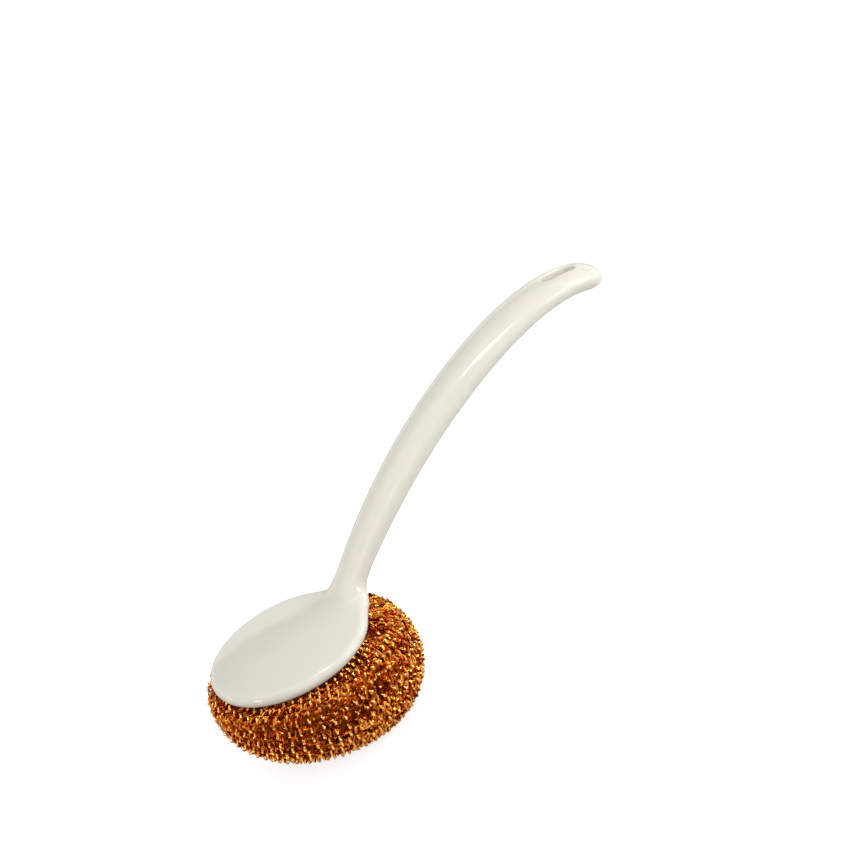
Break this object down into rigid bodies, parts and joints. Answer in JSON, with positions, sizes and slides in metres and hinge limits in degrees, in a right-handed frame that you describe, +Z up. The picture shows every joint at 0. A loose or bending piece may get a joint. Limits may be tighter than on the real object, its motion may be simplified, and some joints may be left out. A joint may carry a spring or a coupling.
{
  "type": "dish scrubber with handle",
  "caption": "Arched plastic handle with a hang slot and a round domed head that holds a ring-shaped scourer of knitted golden wire.",
  "frame": {"origin": "centre of the retainer's flat underside, on the axis of the round head; the scourer's flat base lies 5.4 mm lower", "axes": "+Z up along the head's axis, out of the dome; +X from the head towards the handle's tip; +Y across the handle"},
  "size_m": [0.2256, 0.085, 0.0968],
  "materials": {
    "cream_plastic": "smooth moulded plastic, warm off-white, glossy, slightly translucent",
    "golden_wire": "loose knit of flat metal wire, shiny copper gold",
    "retainer_plastic": "smooth moulded plastic, warm off-white"
  },
  "bodies": {
    "handle": {"handle": "cream_plastic"},
    "refill": {"scourer": "golden_wire", "retainer": "retainer_plastic"}
  },
  "joints": [
    {"name": "retainer_pull", "type": "slide", "parent": "handle", "child": "refill", "axis": [0, 0, -1], "range_m": [0, 0.022]}
  ]
}
